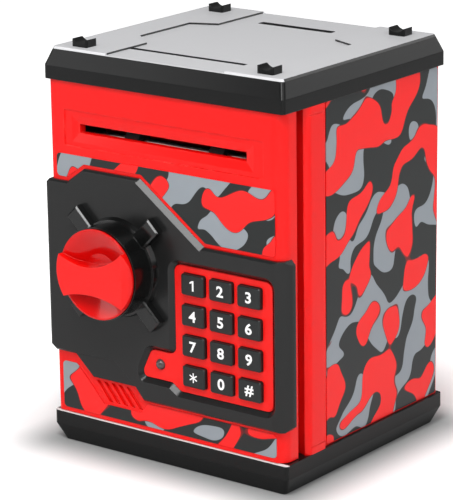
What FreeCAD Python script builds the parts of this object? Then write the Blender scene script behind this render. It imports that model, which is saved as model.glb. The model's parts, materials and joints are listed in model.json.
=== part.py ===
import FreeCAD, Part
import math
import os

# Toy savings bank in the shape of a cash machine. Millimetres.
# Origin: centre of the base's underside. +Z up, the door faces -Y, +X to the right of the door.

os.makedirs("parts", exist_ok=True)
Vec = FreeCAD.Vector

# ---------------------------------------------------------------- driving sizes
BODY_HALF_X = 65.75
FRONT_Y = -61.7
BACK_Y = 61.7
WALL = 2.5
BASE_TOP = 14.8
BASE_FLOOR = 3.0
LID_BOTTOM = 173.9
LID_BAND = 180.2
LID_DECK = 187.3
LID_TOP = 188.5
POST_TOP = 192.0
GAP = 0.3                      # gap between the door and what it closes against
RUN = 0.05                     # radial clearance of a running shaft
FILM = 0.3                     # thickness of the printed sheets

DOOR_BOTTOM = BASE_TOP + GAP
DOOR_TOP = LID_BOTTOM - GAP
DOOR_SIDE_BACK = -51.3         # back edge of the door's side returns
DOOR_CORNER_R = 5.5            # front corner on the hinge side
DOOR_LATCH_CORNER_R = 2.0      # front corner on the latch side
DOOR_INNER = FRONT_Y + WALL    # inner face of the door's front wall
HINGE_X = 60.0
HINGE_Y = -54.5
HINGE_PIN_R = 2.0
DOOR_SWING_R = 10.0            # clear of the door's outer corner all the way round

TRIM_PROUD = 2.3
TRIM_FACE = FRONT_Y - TRIM_PROUD
TRIM_WRAP_BACK = -55.6
TRIM_SLANT_BEVEL = 2.2

SLOT_LEFT = -48.9              # bill slot in the door
SLOT_RIGHT = 45.6
SLOT_Z = 152.2
SLOT_HEIGHT = 4.2
SLOT_FUNNEL_Y = -60.3          # depth at which the funnel has narrowed to the slot

KNOB_X = -25.3
KNOB_Z = 91.6
KNOB_R = 21.0
KNOB_FACE = -82.4
KNOB_RIM = -79.5               # front of the thin rim round the finger scoops
KNOB_BACK = -78.5
COLLAR_R = 21.6
COLLAR_FRONT = KNOB_BACK + 0.3
SHAFT_R = 3.0
GEAR_BACKLASH = 0.16

BEZEL_FACE = -62.2
KEY_FACE = -64.3
KEY_W = 12.6
KEY_H = 9.7
KEY_COLUMNS = (17.2, 32.85, 48.5)
KEY_ROWS = (89.95, 75.6, 61.25, 46.9)
KEY_NAMES = (("1", "2", "3"), ("4", "5", "6"), ("7", "8", "9"), ("star", "0", "hash"))
KEY_FLANGE_FRONT = DOOR_INNER + 1.5
KEY_FLANGE_BACK = KEY_FLANGE_FRONT + 1.0
KEY_TRAVEL = 1.1
MAT_FRONT = KEY_FLANGE_BACK + KEY_TRAVEL + 0.1
MAT_BACK = MAT_FRONT + 1.2
BOARD_BACK = MAT_BACK + 1.6
LED_X = -3.2
LED_Z = 48.9

COVER_FRONT = -40.0            # back cover of the door
COVER_BACK = -38.0
COVER_RIM = DOOR_INNER + 4.4
COVER_WALL = 1.8
COVER_OUTLINE = (-56.5, 56.0, 18.0, 129.5)

LATCH_MODULE = 0.6
LATCH_TEETH = 16
LATCH_PITCH_R = LATCH_MODULE * LATCH_TEETH / 2
LATCH_FRONT = -48.6
LATCH_BACK = -44.6
LOCK_PLATE_FRONT = -50.6
LOCK_PLATE_BACK = -49.1

ROLLER_Y = -48.5
DRIVE_Z = SLOT_Z - 4.65
IDLER_Z = SLOT_Z + 4.65
TYRE_R = 4.5
ROLLER_SHAFT_R = 1.5
FEED_MODULE = 0.6
DRIVE_TEETH = 24
MOTOR_TEETH = 12
MOTOR_Z = DRIVE_Z - FEED_MODULE * (DRIVE_TEETH + MOTOR_TEETH) / 2

CELL_R = 7.1
CELL_LENGTH = 50.0
CELL_PITCH = 15.3
CELL_Z = 10.8
CELL_ROWS = tuple(25.8 + CELL_PITCH * row for row in (-1, 0, 1))
CELL_NUB = 1.2
CONTACT_THICK = 0.5
SPRING_WIRE_R = 0.4
SPRING_LENGTH = 6.0
BAY_HALF_X = (CELL_LENGTH + SPRING_LENGTH + 2 * CONTACT_THICK) / 2
BAY_FRONT = CELL_ROWS[0] - CELL_R - 0.5
BAY_BACK = CELL_ROWS[-1] + CELL_R + 0.5
TRAY_TOP = 20.5

POST_PLACES = ((52.2, -51.8), (-52.2, -51.8), (52.2, 48.8), (-52.2, 48.8))


# ---------------------------------------------------------------- helpers
def box(x0, x1, y0, y1, z0, z1):
    return Part.makeBox(x1 - x0, y1 - y0, z1 - z0, Vec(x0, y0, z0))


def rod(radius, start, axis, length):
    return Part.makeCylinder(radius, length, Vec(*start), Vec(*axis))


def fuse(*shapes):
    joined = shapes[0].fuse(list(shapes[1:]))
    return joined.removeSplitter()


def at_z(z):
    return lambda u, v: Vec(u, v, z)


def at_y(y):
    return lambda u, v: Vec(u, y, v)


def at_x(x):
    return lambda u, v: Vec(x, u, v)


def unit(ax, ay, bx, by):
    size = math.hypot(bx - ax, by - ay)
    return (bx - ax) / size, (by - ay) / size


def turns_left(before, corner, after):
    ax, ay = unit(*before, *corner)
    bx, by = unit(*corner, *after)
    return ax * by - ay * bx > 0


def area(points):
    pairs = zip(points, points[1:] + points[:1])
    return sum(ax * by - bx * ay for (ax, ay), (bx, by) in pairs) / 2


def inset(points, distance):
    """Move every side of a polygon inwards by the distance, with mitred corners."""
    sign = 1 if area(points) > 0 else -1
    moved = []
    for before, corner, after in neighbours(points):
        ax, ay = unit(*before, *corner)
        bx, by = unit(*corner, *after)
        nx, ny = -sign * (ay + by), sign * (ax + bx)
        scale = 2 * distance / (nx * nx + ny * ny)
        moved.append((corner[0] + nx * scale, corner[1] + ny * scale))
    return moved


def neighbours(points):
    return zip(points[-1:] + points[:-1], points, points[1:] + points[:1])


def loop(points, place, radius=0.0, growth=0.0):
    """Closed wire with rounded corners; growth shrinks the outer corners and widens the inner ones."""
    anticlockwise = area(points) > 0
    edges = []
    stops = []
    for before, corner, after in neighbours(points):
        outer = turns_left(before, corner, after) == anticlockwise
        corner_r = radius - growth if outer else radius + growth
        if radius:
            stops.append(corner_arc(before, corner, after, max(corner_r, 0.05)))
        else:
            stops.append((corner, None, corner))
    for (start, middle, end), (next_start, _, _) in zip(stops, stops[1:] + stops[:1]):
        if middle:
            edges.append(Part.Arc(place(*start), place(*middle), place(*end)).toShape())
        if math.hypot(next_start[0] - end[0], next_start[1] - end[1]) > 1e-6:
            edges.append(Part.LineSegment(place(*end), place(*next_start)).toShape())
    return Part.Wire(edges)


def corner_arc(before, corner, after, radius):
    ax, ay = unit(*corner, *before)
    bx, by = unit(*corner, *after)
    half = math.acos(max(-1.0, min(1.0, ax * bx + ay * by))) / 2
    shorter = min(math.dist(corner, before), math.dist(corner, after))
    back = min(radius / math.tan(half), 0.45 * shorter)
    radius = back * math.tan(half)
    to_centre = radius / math.sin(half)
    mx, my = unit(0, 0, ax + bx, ay + by)
    reach = to_centre - radius
    start = (corner[0] + ax * back, corner[1] + ay * back)
    end = (corner[0] + bx * back, corner[1] + by * back)
    return start, (corner[0] + mx * reach, corner[1] + my * reach), end


def rectangle(left, right, low, high):
    return [(left, low), (right, low), (right, high), (left, high)]


def block_z(points, z0, z1, radius=0.0):
    return Part.Face(loop(points, at_z(z0), radius)).extrude(Vec(0, 0, z1 - z0))


def block_y(points, y0, y1, radius=0.0):
    return Part.Face(loop(points, at_y(y0), radius)).extrude(Vec(0, y1 - y0, 0))


def block_x(points, x0, x1, radius=0.0):
    return Part.Face(loop(points, at_x(x0), radius)).extrude(Vec(x1 - x0, 0, 0))


def taper(low_points, low_place, high_points, high_place, radius=0.0, growth=0.0):
    wires = [loop(low_points, low_place, radius), loop(high_points, high_place, radius, growth)]
    return Part.makeLoft(wires, True, True)


def bevelled_y(points, back, face, bevel, radius=0.0):
    """A plate in the XZ plane whose front edges are cut at 45 degrees."""
    body = block_y(points, face + bevel, back, radius)
    edge = taper(points, at_y(face + bevel), inset(points, bevel), at_y(face), radius, bevel)
    return fuse(body, edge)


def gear(module, teeth, middle, axis_start, width, stub=1.0, bore=0.0, turn=0.0, along="y"):
    """Involute spur gear; middle is its centre in the plane square to its axis."""
    pressure = math.radians(20)
    pitch = module * teeth / 2
    base = pitch * math.cos(pressure)
    tip = pitch + module * stub
    root = pitch - module * (stub + 0.25)
    half_tooth = (math.pi * module / 2 - GEAR_BACKLASH) / (2 * pitch)
    roll_pitch = math.tan(pressure) - pressure
    flank = []
    start = max(root, base)
    for step in range(6):
        radius = start + (tip - start) * step / 5
        lean = math.acos(min(1.0, base / radius))
        flank.append((radius, half_tooth + roll_pitch - (math.tan(lean) - lean)))
    if root < base:
        flank.insert(0, (root, flank[0][1]))
    points = []
    for tooth in range(teeth):
        centre = turn + 2 * math.pi * tooth / teeth
        points += [polar(middle, radius, centre - lean) for radius, lean in flank]
        points += [polar(middle, radius, centre + lean) for radius, lean in reversed(flank)]
    block = block_y if along == "y" else block_x
    wheel = block(points, axis_start, axis_start + width)
    if bore:
        direction = (0, 1, 0) if along == "y" else (1, 0, 0)
        place = at_y(axis_start) if along == "y" else at_x(axis_start)
        wheel = wheel.cut(rod(bore, tuple(place(*middle)), direction, width))
    return wheel


def polar(middle, radius, angle):
    return middle[0] + radius * math.cos(angle), middle[1] + radius * math.sin(angle)


def cross_recess(head_r):
    """Half sizes of the two slots of a cross recess."""
    return (head_r * 0.6, 0.35), (0.35, head_r * 0.6)


def screw_z(x, y, z_head, z_tip, head_r, shank_r, up):
    """Round-headed screw along Z with a cross recess; up is +1 when the tip is above the head."""
    head = rod(head_r, (x, y, z_head), (0, 0, up), 1.4)
    shank = rod(shank_r, (x, y, z_head + 1.4 * up), (0, 0, up), abs(z_tip - z_head) - 1.4)
    low, high = sorted((z_head, z_head + 0.8 * up))
    slots = [box(x - a, x + a, y - b, y + b, low, high) for a, b in cross_recess(head_r)]
    return fuse(head, shank).cut(fuse(*slots))


def screw_y(x, z, y_head, y_tip, head_r, shank_r):
    """Round-headed screw along Y, its head at the back."""
    head = rod(head_r, (x, y_head, z), (0, -1, 0), 1.4)
    shank = rod(shank_r, (x, y_head - 1.4, z), (0, -1, 0), y_head - 1.4 - y_tip)
    slots = [box(x - a, x + a, y_head - 0.8, y_head, z - b, z + b) for a, b in cross_recess(head_r)]
    return fuse(head, shank).cut(fuse(*slots))


def save(name, *shapes):
    shape = shapes[0] if len(shapes) == 1 else Part.makeCompound(list(shapes))
    if not shape.isValid():
        raise ValueError(name + " is not a valid shape")
    if shape.Volume <= 0:
        raise ValueError(name + " has no volume")
    shape.exportStep("parts/" + name + ".step")


# ---------------------------------------------------------------- base and battery bay
BASE_FOOT = rectangle(-64.2, 64.2, -59.4, 59.4)
BASE_RIM = rectangle(-67.7, 67.7, -62.6, 62.6)
RIM_CORNER_R = 1.8
RIM_BEVEL_Z = 8.1
BASE_WELL = rectangle(-61.0, 61.0, -55.0, 56.5)
CASE_SCREWS = ((-56.5, -30.0), (56.5, -30.0), (-56.5, 50.0), (56.5, 50.0))
COVER_SCREW_Y = BAY_BACK + 5.1
COVER_PLATE = rectangle(-BAY_HALF_X - 2.5, BAY_HALF_X + 2.5, BAY_FRONT - 1.5, COVER_SCREW_Y + 3.6)
COVER_RECESS = 1.9


def base():
    foot = taper(BASE_FOOT, at_z(0), BASE_RIM, at_z(RIM_BEVEL_Z), RIM_CORNER_R)
    rim = block_z(BASE_RIM, RIM_BEVEL_Z, BASE_TOP, RIM_CORNER_R)
    tray = fuse(foot, rim).cut(block_z(BASE_WELL, BASE_FLOOR, BASE_TOP + 1, 4.0))
    tray = tray.cut(block_z(COVER_PLATE, -1, COVER_RECESS, 2.0))
    tray = tray.cut(box(-BAY_HALF_X, BAY_HALF_X, BAY_FRONT, BAY_BACK, 0, BASE_FLOOR + 1))
    boss = rod(2.9, (0, COVER_SCREW_Y, COVER_RECESS), (0, 0, 1), 7.0)
    tray = fuse(tray, boss).cut(rod(1.2, (0, COVER_SCREW_Y, 0), (0, 0, 1), 7.5))
    for x, y in CASE_SCREWS:
        tray = fuse(tray, rod(5.0, (x, y, 1.0), (0, 0, 1), BASE_TOP - 1.0))
        tray = tray.cut(rod(3.3, (x, y, 0), (0, 0, 1), 5.0))
        tray = tray.cut(rod(1.6, (x, y, 0), (0, 0, 1), BASE_TOP))
    pin_boss = rod(5.0, (HINGE_X, HINGE_Y, BASE_FLOOR), (0, 0, 1), BASE_TOP - BASE_FLOOR)
    tray = fuse(tray, pin_boss.common(block_z(BASE_RIM, 0, BASE_TOP, RIM_CORNER_R)))
    return tray.cut(rod(HINGE_PIN_R, (HINGE_X, HINGE_Y, BASE_TOP - 8), (0, 0, 1), 10))


def hinge_pins():
    lower = rod(HINGE_PIN_R, (HINGE_X, HINGE_Y, BASE_TOP - 8), (0, 0, 1), 13.5)
    upper = rod(HINGE_PIN_R, (HINGE_X, HINGE_Y, LID_BOTTOM - 5.5), (0, 0, 1), 13.5)
    return lower, upper


def battery_tray():
    outer = box(-BAY_HALF_X - 2, BAY_HALF_X + 2, BAY_FRONT - 2, BAY_BACK + 2, BASE_FLOOR, TRAY_TOP)
    inner = box(-BAY_HALF_X, BAY_HALF_X, BAY_FRONT, BAY_BACK, BASE_FLOOR - 1, TRAY_TOP - 2)
    tray = outer.cut(inner)
    for y in (CELL_ROWS[0] + CELL_PITCH / 2, CELL_ROWS[1] + CELL_PITCH / 2):
        tray = fuse(tray, box(-BAY_HALF_X, BAY_HALF_X, y - 0.4, y + 0.4, CELL_Z + 5.5, TRAY_TOP - 2))
    return tray


def aa_cells():
    cells = []
    for row, y in enumerate(CELL_ROWS):
        way = 1 if row % 2 == 0 else -1
        start = -way * (BAY_HALF_X - CONTACT_THICK - SPRING_LENGTH)
        can = rod(CELL_R, (start, y, CELL_Z), (way, 0, 0), CELL_LENGTH - CELL_NUB)
        nub = rod(2.6, (start + way * (CELL_LENGTH - CELL_NUB), y, CELL_Z), (way, 0, 0), CELL_NUB)
        cells.append(fuse(can, nub))
    return cells


def battery_springs():
    """A conical coil behind the flat end of every cell."""
    springs = []
    for row, y in enumerate(CELL_ROWS):
        way = 1 if row % 2 == 0 else -1
        wall_x = -way * (BAY_HALF_X - CONTACT_THICK)
        first = wall_x + way * SPRING_WIRE_R
        rise = SPRING_LENGTH - 2 * SPRING_WIRE_R
        coils = []
        for turn in range(4):
            place = Vec(first + way * rise * turn / 3, y, CELL_Z)
            coils.append(Part.makeTorus(4.6 - 0.8 * turn, SPRING_WIRE_R, place, Vec(1, 0, 0)))
        stays = [rod(SPRING_WIRE_R * 0.8, (first, y + side * 4.6, CELL_Z), (way * rise, -side * 2.4, 0),
                     math.hypot(rise, 2.4)) for side in (-1, 1)]
        springs.append(fuse(*coils, *stays))
    return springs


def battery_contacts():
    plates = []
    for side in (-1, 1):
        near, far = sorted((side * BAY_HALF_X, side * (BAY_HALF_X - CONTACT_THICK)))
        for y in CELL_ROWS:
            plates.append(box(near, far, y - 5.0, y + 5.0, CELL_Z - 5.5, CELL_Z + 5.5))
    return plates


def battery_cover():
    plate = block_z(inset(COVER_PLATE, 0.25), GAP, COVER_RECESS - 0.2, 1.75)
    bay = rectangle(-BAY_HALF_X, BAY_HALF_X, BAY_FRONT, BAY_BACK)
    lip = block_z(inset(bay, 0.4), COVER_RECESS - 0.2, BASE_FLOOR)
    hollow = block_z(inset(bay, 1.6), COVER_RECESS - 0.2, BASE_FLOOR)
    cover = fuse(plate, lip.cut(hollow))
    cover = cover.cut(rod(2.6, (0, COVER_SCREW_Y, 0), (0, 0, 1), 1.2))
    for x in (-18, -15, -12, 12, 15, 18):
        cover = cover.cut(box(x - 0.6, x + 0.6, BAY_FRONT + 2, BAY_FRONT + 10, 0, GAP + 0.5))
    return cover.cut(rod(1.0 + RUN, (0, COVER_SCREW_Y, 0), (0, 0, 1), BASE_FLOOR))


def battery_cover_screw():
    head = rod(2.2, (0, COVER_SCREW_Y, GAP + 0.1), (0, 0, 1), 0.75)
    shank = rod(1.0, (0, COVER_SCREW_Y, GAP + 0.1), (0, 0, 1), 7.0)
    slot = box(-1.8, 1.8, COVER_SCREW_Y - 0.35, COVER_SCREW_Y + 0.35, 0, GAP + 0.5)
    return fuse(head, shank).cut(slot)


# ---------------------------------------------------------------- housing
SHELL_FRONT = -50.8
RIB_X = 62.2                   # middle of the ribs inside the side walls
POST_FRONT = -46.5
POST_BACK = -32.5
POST_OUT = 67.7
SCREW_POST_TOP = 26.8
FILM_LOW = 15.4
FILM_HIGH = 173.3


def housing_shell():
    outside = rectangle(-BODY_HALF_X, BODY_HALF_X, SHELL_FRONT, BACK_Y)
    shell = block_z(outside, BASE_TOP, LID_BOTTOM, 2.5)
    well = rectangle(-BODY_HALF_X + WALL, BODY_HALF_X - WALL, -90, BACK_Y - WALL)
    shell = shell.cut(block_z(well, BASE_TOP - 1, LID_BOTTOM + 1, 1.5))
    shell = shell.cut(box(40, 80, -80, POST_BACK, 0, 200))
    for side in (-1, 1):
        for y in (-20, 20):
            rib_x = side * RIB_X
            shell = fuse(shell, box(rib_x - 1.05, rib_x + 1.05, y - 1, y + 1, BASE_TOP, LID_BOTTOM))
    for x in (-25, 25):
        shell = fuse(shell, box(x - 1, x + 1, 57.5, 59.3, BASE_TOP, LID_BOTTOM))
    for x, y in CASE_SCREWS:
        wall_x = math.copysign(BODY_HALF_X - WALL + 0.1, x)
        web = box(min(x, wall_x), max(x, wall_x), y - 1, y + 1, BASE_TOP, SCREW_POST_TOP)
        shell = fuse(shell, web, rod(4.0, (x, y, BASE_TOP), (0, 0, 1), SCREW_POST_TOP - BASE_TOP))
        shell = shell.cut(rod(1.6, (x, y, BASE_TOP), (0, 0, 1), 9.2))
    return shell


def hinge_post():
    plan = [(60.6, POST_FRONT), (POST_OUT, POST_FRONT), (POST_OUT, POST_BACK), (60.6, POST_BACK)]
    post = block_z(plan, BASE_TOP, LID_BOTTOM, 0.0)
    edge = [e for e in post.Edges if vertical_at(e, POST_OUT, POST_FRONT)]
    post = post.makeFillet(4.0, edge)
    rear = [e for e in post.Edges if vertical_at(e, POST_OUT, POST_BACK)]
    post = post.makeFillet(1.2, rear)
    tongue = box(61.0, BODY_HALF_X - WALL, POST_BACK, -23.0, SCREW_POST_TOP + 0.5, LID_BOTTOM)
    cap_lines = [fine_groove(z) for z in (18.5, 170.2)]
    swing = rod(DOOR_SWING_R, (HINGE_X, HINGE_Y, 0), (0, 0, 1), 200)
    return fuse(post, tongue).cut(swing).cut(fuse(*cap_lines))


def fine_groove(z):
    """A fine groove across the front and side of the post."""
    ring = box(64.0, 70.0, POST_FRONT - 2, POST_BACK, z - 0.35, z + 0.35)
    core = box(60.0, POST_OUT - 0.4, POST_FRONT + 0.4, POST_BACK, z - 1, z + 1)
    return ring.cut(core)


def vertical_at(edge, x, y):
    ends = [v.Point for v in edge.Vertexes]
    return len(ends) == 2 and all(math.hypot(p.x - x, p.y - y) < 1e-4 for p in ends)


def side_print(side, front):
    plan = sorted((side * BODY_HALF_X, side * (BODY_HALF_X + FILM)))
    points = rectangle(front, BACK_Y - 2.6, FILM_LOW, FILM_HIGH)
    return block_x(points, plan[0], plan[1], 1.5)


def strike_plate():
    foot = box(-BODY_HALF_X + WALL, -BODY_HALF_X + WALL + 1.2, -50.6, -38.0, 72, 100)
    lip = box(-BODY_HALF_X + WALL, -60.0, -50.6, -49.4, 72, 100)
    return fuse(foot, lip)


def case_screws():
    return [screw_z(x, y, 3.6, 24.0, 3.1, 1.6, 1) for x, y in CASE_SCREWS]


# ---------------------------------------------------------------- lid
LID_BAND_EDGE = rectangle(-67.5, 67.5, -63.0, 63.0)
LID_EDGE = rectangle(-64.7, 64.7, -59.4, 59.4)
CHANNEL = [(-33.5, -62.0), (33.5, -62.0), (33.5, -30.0), (46.5, -19.0), (46.5, 18.0), (33.5, 23.5),
           (33.5, 62.0), (-33.5, 62.0), (-33.5, 23.5), (-46.5, 18.0), (-46.5, -19.0), (-33.5, -30.0)]
CHANNEL_FLOOR = 187.6
WELL_FLOOR = 185.3
CROSS_GROOVE_Y = (-42.1, -39.1)
CROSS_GROOVE_FLOOR = 186.4
COIN_Y = 39.6
COIN_SLOT = rectangle(-21.2, 21.2, COIN_Y - 2.2, COIN_Y + 2.2)


def lid_edge_at(z):
    """Outline of the lid's sloping side at a height between the band and the top."""
    part = (z - LID_BAND) / (LID_TOP - LID_BAND)
    pairs = zip(LID_BAND_EDGE, LID_EDGE)
    return [(ax + (bx - ax) * part, ay + (by - ay) * part) for (ax, ay), (bx, by) in pairs]


def lid():
    band = block_z(LID_BAND_EDGE, LID_BOTTOM, LID_BAND, RIM_CORNER_R)
    slope = taper(LID_BAND_EDGE, at_z(LID_BAND), lid_edge_at(LID_DECK), at_z(LID_DECK), RIM_CORNER_R)
    cap = fuse(band, slope).cut(block_z(rectangle(-61.5, 61.5, -56.5, 58.0), LID_BOTTOM - 1, 183.0, 3.0))
    well = block_z(inset(CHANNEL, -1.5), WELL_FLOOR, LID_TOP).common(block_z(inset(LID_EDGE, 1.2), 0, 200))
    cap = cap.cut(well)
    shroud = block_z(inset(COIN_SLOT, -1.5), 176.0, WELL_FLOOR, 1.0)
    cap = fuse(cap, shroud).cut(block_z(COIN_SLOT, 170, 190, 1.0))
    pin_boss = rod(5.0, (HINGE_X, HINGE_Y, LID_BOTTOM), (0, 0, 1), 10.0)
    cap = fuse(cap, pin_boss.common(block_z(LID_EDGE, 0, 186)))
    cap = cap.cut(rod(HINGE_PIN_R, (HINGE_X, HINGE_Y, LID_BOTTOM - 1), (0, 0, 1), 9.0))
    for x, y in POST_PLACES:
        cap = cap.cut(rod(2.0, (x, y, 182), (0, 0, 1), 10))
    return cap


def lid_plate():
    layer = taper(lid_edge_at(LID_DECK), at_z(LID_DECK), LID_EDGE, at_z(LID_TOP), RIM_CORNER_R)
    well = block_z(inset(CHANNEL, -1.4), WELL_FLOOR, LID_DECK)
    plate = fuse(layer, well.common(block_z(inset(LID_EDGE, 1.3), 0, 200)))
    trough = block_z(CHANNEL, CHANNEL_FLOOR, LID_TOP + 1)
    front_keep = box(-40, 40, -60.0, -57.6, 180, LID_DECK + 0.2)
    back_keep = box(-40, 40, 57.6, 60.0, 180, LID_DECK + 0.2)
    plate = plate.cut(trough.cut(fuse(front_keep, back_keep)))
    plate = plate.cut(box(-33.5, 33.5, *CROSS_GROOVE_Y, CROSS_GROOVE_FLOOR, LID_TOP))
    plate = plate.cut(block_z(COIN_SLOT, 180, 190, 1.0))
    for x, y in POST_PLACES:
        plate = plate.cut(rod(2.0, (x, y, 182), (0, 0, 1), 10))
    return plate


def lid_corner_posts():
    """Saddle-topped pegs, each with a stem into the lid."""
    posts = []
    for x, y in POST_PLACES:
        block = block_z(rectangle(x - 4.4, x + 4.4, y - 3.6, y + 3.6), LID_TOP, POST_TOP, 0.8)
        saddle = rod(5.2, (x, y - 6, POST_TOP + 3.4), (0, 1, 0), 12)
        stem = rod(2.0, (x, y, 183.5), (0, 0, 1), LID_TOP - 183.5)
        posts.append(fuse(block.cut(saddle), stem))
    return posts


# ---------------------------------------------------------------- door
TRIM_OUTLINE = [(-68.6, 124.6), (-66.0, 127.2), (-55.0, 127.2), (-45.0, 134.4), (-13.2, 134.4), (22.8, 108.2),
                (66.0, 108.2), (68.6, 105.6), (68.6, 32.4), (66.0, 29.9), (-12.7, 29.9), (-17.6, 35.6),
                (-42.6, 35.6), (-52.8, 45.0), (-64.8, 45.0), (-68.6, 47.8)]
BEZEL_OUTLINE = [(60.2, 98.0), (6.0, 98.0), (6.0, 55.2), (-8.2, 55.2), (-13.2, 44.6), (-12.2, 41.7),
                 (3.6, 41.7), (8.4, 38.4), (60.2, 38.4)]
UPPER_PRINT = [(-62.0, 129.0), (-56.0, 129.0), (-46.0, 136.2), (-12.6, 136.2), (23.4, 110.0), (61.7, 110.0),
               (61.7, 139.7), (-62.0, 139.7)]
LOWER_PRINT = [(-62.0, 17.2), (61.5, 17.2), (61.5, 28.2), (-11.5, 28.2), (-15.2, 23.0), (-37.6, 23.0),
               (-47.4, 33.8), (-53.6, 39.8), (-62.0, 39.8)]
SHIELD_LEFT = 56.4
SHIELD_BACK = -45.0
VENT_COUNT = 5
LOUVRE_LEAN = 7.4
DOOR_SCREWS = ((-51.0, 24.0), (46.0, 24.0), (-51.2, 63.0), (-50.6, 124.3), (46.0, 104.6), (4.5, 112.0))


def door_solid(grow, back, z0, z1):
    left, right = -BODY_HALF_X - grow, BODY_HALF_X + grow
    front, end = FRONT_Y - grow, back + 20
    hinge_half = block_z(rectangle(-30, right, front, end), z0, z1, DOOR_CORNER_R + grow)
    latch_half = block_z(rectangle(left, 30, front, end), z0, z1, DOOR_LATCH_CORNER_R)
    return fuse(hinge_half, latch_half).cut(box(-90, 90, back, back + 30, z0 - 1, z1 + 1))


def door_panel():
    shell = door_solid(0, DOOR_SIDE_BACK, DOOR_BOTTOM, DOOR_TOP)
    inner = door_solid(-WALL, DOOR_SIDE_BACK + 5, DOOR_BOTTOM + 2, DOOR_TOP - 2)
    panel = shell.cut(inner)
    panel = fuse(panel, box(-54.0, 51.0, DOOR_INNER, -56.4, 142.0, 162.8), hinge_shield())
    for z0 in (DOOR_BOTTOM + 2, DOOR_TOP - 6):
        panel = fuse(panel, box(SHIELD_LEFT, BODY_HALF_X - WALL, DOOR_INNER, DOOR_SIDE_BACK, z0, z0 + 4))
    panel = panel.cut(rod(HINGE_PIN_R + RUN, (HINGE_X, HINGE_Y, 0), (0, 0, 1), 200))
    panel = panel.cut(bill_funnel())
    panel = panel.cut(block_y(inset(BEZEL_OUTLINE, -0.15), FRONT_Y - 1, DOOR_INNER + 1, 3.5))
    panel = fuse(panel, rod(7.0, (KNOB_X, FRONT_Y, KNOB_Z), (0, 1, 0), 8.5))
    panel = panel.cut(rod(SHAFT_R + RUN, (KNOB_X, -90, KNOB_Z), (0, 1, 0), 60))
    for x, z in DOOR_SCREWS:
        panel = fuse(panel, rod(3.2, (x, DOOR_INNER, z), (0, 1, 0), COVER_FRONT - DOOR_INNER))
        panel = panel.cut(rod(1.3, (x, -56.0, z), (0, 1, 0), 20))
    for x, z in LOCK_POSTS:
        panel = fuse(panel, rod(2.5, (x, DOOR_INNER, z), (0, 1, 0), LOCK_PLATE_FRONT - DOOR_INNER))
    return panel.cut(vent_slots())


def hinge_shield():
    """Wall beside the hinge that closes the view into the door, cut away behind the keypad."""
    wall = box(SHIELD_LEFT, SHIELD_LEFT + 1.5, DOOR_INNER, SHIELD_BACK, DOOR_BOTTOM + 2, DOOR_TOP - 2)
    return wall.cut(box(SHIELD_LEFT - 1, SHIELD_LEFT + 3, DOOR_INNER - 1, DOOR_INNER + 1.8, 35.0, 101.2))


def bill_funnel():
    """Stepped frame and funnel that lead a bill into the slot."""
    slot = rectangle(SLOT_LEFT, SLOT_RIGHT, SLOT_Z - SLOT_HEIGHT / 2, SLOT_Z + SLOT_HEIGHT / 2)
    mouth = rectangle(-53.3, 50.7, 145.4, 158.6)
    field = rectangle(-57.2, 55.5, 143.8, 160.6)
    step = block_y(field, FRONT_Y - 1, FRONT_Y + 0.6, 0.8)
    funnel = taper(mouth, at_y(FRONT_Y + 0.5), slot, at_y(SLOT_FUNNEL_Y))
    return fuse(step, funnel, block_y(slot, SLOT_FUNNEL_Y - 0.1, -50.0))


def vent_slots():
    """Slanting louvres cut part way into the door."""
    cuts = []
    for row in range(VENT_COUNT):
        x = -42.0 + 4.4 * row
        louvre = [(x, 33.9), (x + 2.5, 33.9), (x + 2.5 + LOUVRE_LEAN, 24.6), (x + LOUVRE_LEAN, 24.6)]
        cuts.append(block_y(louvre, FRONT_Y - 1, FRONT_Y + 1.3))
    return fuse(*cuts)


def door_trim():
    wrap = door_solid(TRIM_PROUD, TRIM_WRAP_BACK, 20, 150)
    wrap = wrap.cut(door_solid(0, TRIM_WRAP_BACK + 10, 10, 160))
    trim = wrap.common(bevelled_y(TRIM_OUTLINE, TRIM_WRAP_BACK + 1, TRIM_FACE, 1.0)).cut(trim_diagonal())
    wide = inset(BEZEL_OUTLINE, -2.5)
    recess = taper(inset(BEZEL_OUTLINE, -0.2), at_y(FRONT_Y), wide, at_y(TRIM_FACE), 3.5, -2.3)
    mouth = block_y(wide, TRIM_FACE - 1, TRIM_FACE, 3.5)
    facet = [(-63.5, 45.6), (-29.0, 46.3), (-16.2, 35.2), (-12.0, 28.0), (-20.0, 28.0), (-66.0, 28.0)]
    trim = trim.cut(fuse(recess, mouth)).cut(block_y(facet, TRIM_FACE - 1, TRIM_FACE + 0.7))
    return trim.cut(rod(SHAFT_R + 0.6, (KNOB_X, -90, KNOB_Z), (0, 1, 0), 60))


def trim_diagonal():
    """Wedge that leaves a broad bevel along the trim's slanting top edge."""
    start, end = TRIM_OUTLINE[4], TRIM_OUTLINE[5]
    along = Vec(end[0] - start[0], 0, end[1] - start[1])
    outward = Vec(-along.z, 0, along.x).normalize()
    foot = Vec(start[0], TRIM_FACE + TRIM_SLANT_BEVEL, start[1])
    crest = Vec(start[0], TRIM_FACE, start[1]) - outward * TRIM_SLANT_BEVEL
    away = outward * 4
    profile = [foot, crest, crest + Vec(0, -3, 0), foot + away + Vec(0, -6, 0), foot + away, foot]
    return Part.Face(Part.makePolygon(profile)).extrude(along)


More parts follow.
